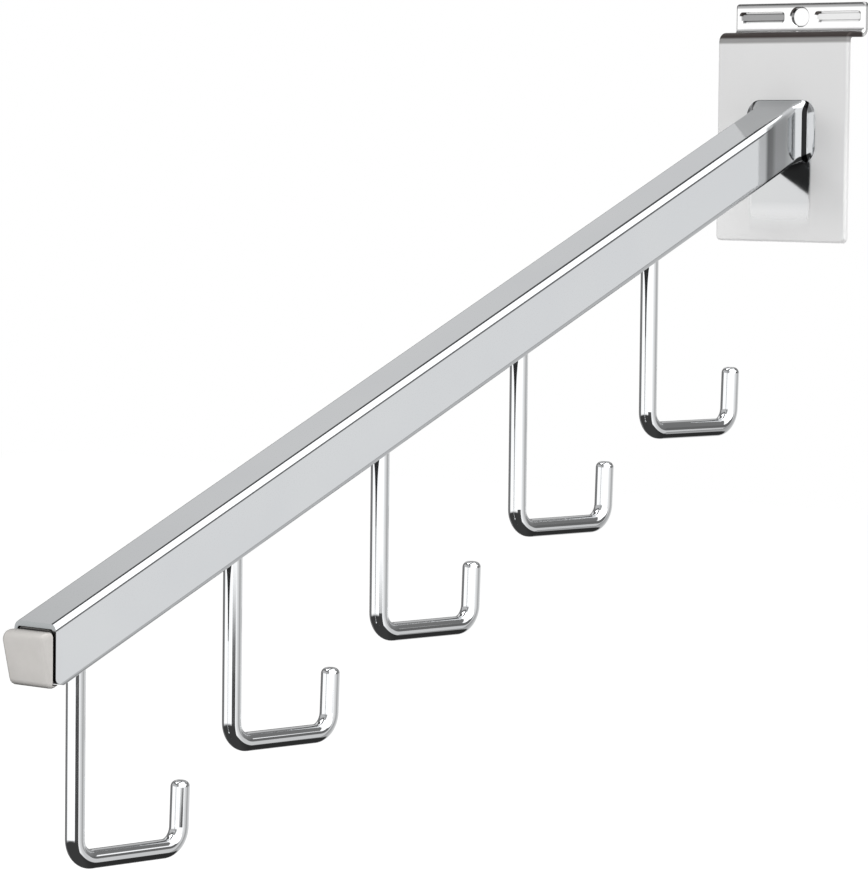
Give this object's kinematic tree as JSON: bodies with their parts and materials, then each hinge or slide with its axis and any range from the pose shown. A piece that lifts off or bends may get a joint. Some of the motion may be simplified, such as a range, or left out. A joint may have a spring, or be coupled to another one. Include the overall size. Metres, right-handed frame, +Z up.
{
  "type": "slatwall hook",
  "caption": "Slatwall arm: folded hook-in bracket, square tube sloping down to the front, J hooks of bent wire welded under it, and a plug in its open end.",
  "frame": {"origin": "middle of the back plate's rear face, which lies on the wall", "axes": "+X along the wall, +Y into the wall, +Z up; the arm goes to -Y and down"},
  "size_m": [0.062, 0.3846, 0.2887],
  "materials": {
    "plated_sheet": "bright chrome plate, slightly hazy",
    "plated_tube": "bright chrome plate",
    "plated_wire": "bright chrome plate",
    "cap_plastic": "satin light grey"
  },
  "bodies": {
    "root": {"slatwall_bracket": "plated_sheet", "arm_tube": "plated_tube", "end_cap": "cap_plastic", "hook_1": "plated_wire", "hook_2": "plated_wire", "hook_3": "plated_wire", "hook_4": "plated_wire", "hook_5": "plated_wire"}
  },
  "joints": []
}
